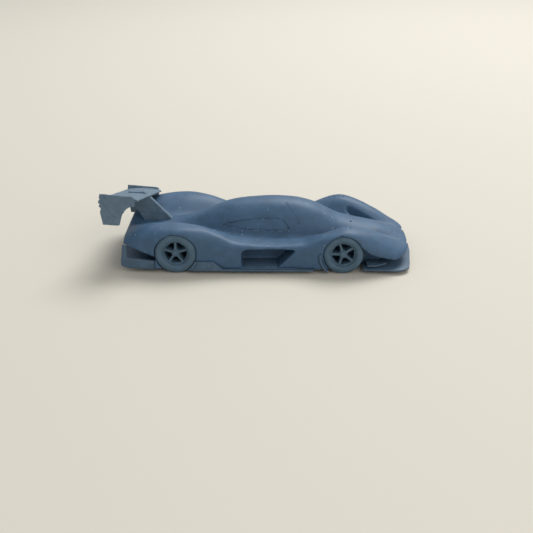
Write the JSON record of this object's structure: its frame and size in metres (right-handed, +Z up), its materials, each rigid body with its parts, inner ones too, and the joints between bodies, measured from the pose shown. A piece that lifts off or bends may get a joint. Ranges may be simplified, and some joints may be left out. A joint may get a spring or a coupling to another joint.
{
  "type": "endurance prototype race car model",
  "caption": "Small resin-printed scale model of a closed-cockpit endurance race car with tilted rear wing, side intakes, diffuser and wheels that turn on wire axles.",
  "frame": {"origin": "on the ground, under the middle of the overall box", "axes": "+X to the nose, +Y to the car's left, +Z up"},
  "size_m": [0.0794, 0.03, 0.0205],
  "materials": {
    "body_resin": "matte grey-blue printing resin with faint layer lines",
    "wing_resin": "matte grey printing resin, paler than the body",
    "wheel_resin": "matte grey-blue printing resin",
    "axle_steel": "plain steel wire"
  },
  "bodies": {
    "chassis": {"upper_body": "body_resin", "floor_pan": "body_resin", "front_splitter": "body_resin", "dive_plane_left": "body_resin", "dive_plane_right": "body_resin", "front_wheel_vane_left": "body_resin", "front_wheel_vane_right": "body_resin", "side_skirt_left": "body_resin", "side_skirt_right": "body_resin", "rear_diffuser": "body_resin", "diffuser_fence_left": "body_resin", "diffuser_fence_right": "body_resin", "wing_pylon": "wing_resin", "rear_wing_plane": "wing_resin", "wing_endplate_left": "wing_resin", "wing_endplate_right": "wing_resin"},
    "front_wheelset": {"front_axle": "axle_steel", "front_left_wheel": "wheel_resin", "front_right_wheel": "wheel_resin"},
    "rear_wheelset": {"rear_axle": "axle_steel", "rear_left_wheel": "wheel_resin", "rear_right_wheel": "wheel_resin"}
  },
  "joints": [
    {"name": "front_wheels_spin", "type": "hinge", "parent": "chassis", "child": "front_wheelset", "pos_m": [0.0209, 0, 0.0051], "axis": [0, 1, 0], "continuous": true},
    {"name": "rear_wheels_spin", "type": "hinge", "parent": "chassis", "child": "rear_wheelset", "pos_m": [-0.0212, 0, 0.00535], "axis": [0, 1, 0], "continuous": true}
  ]
}
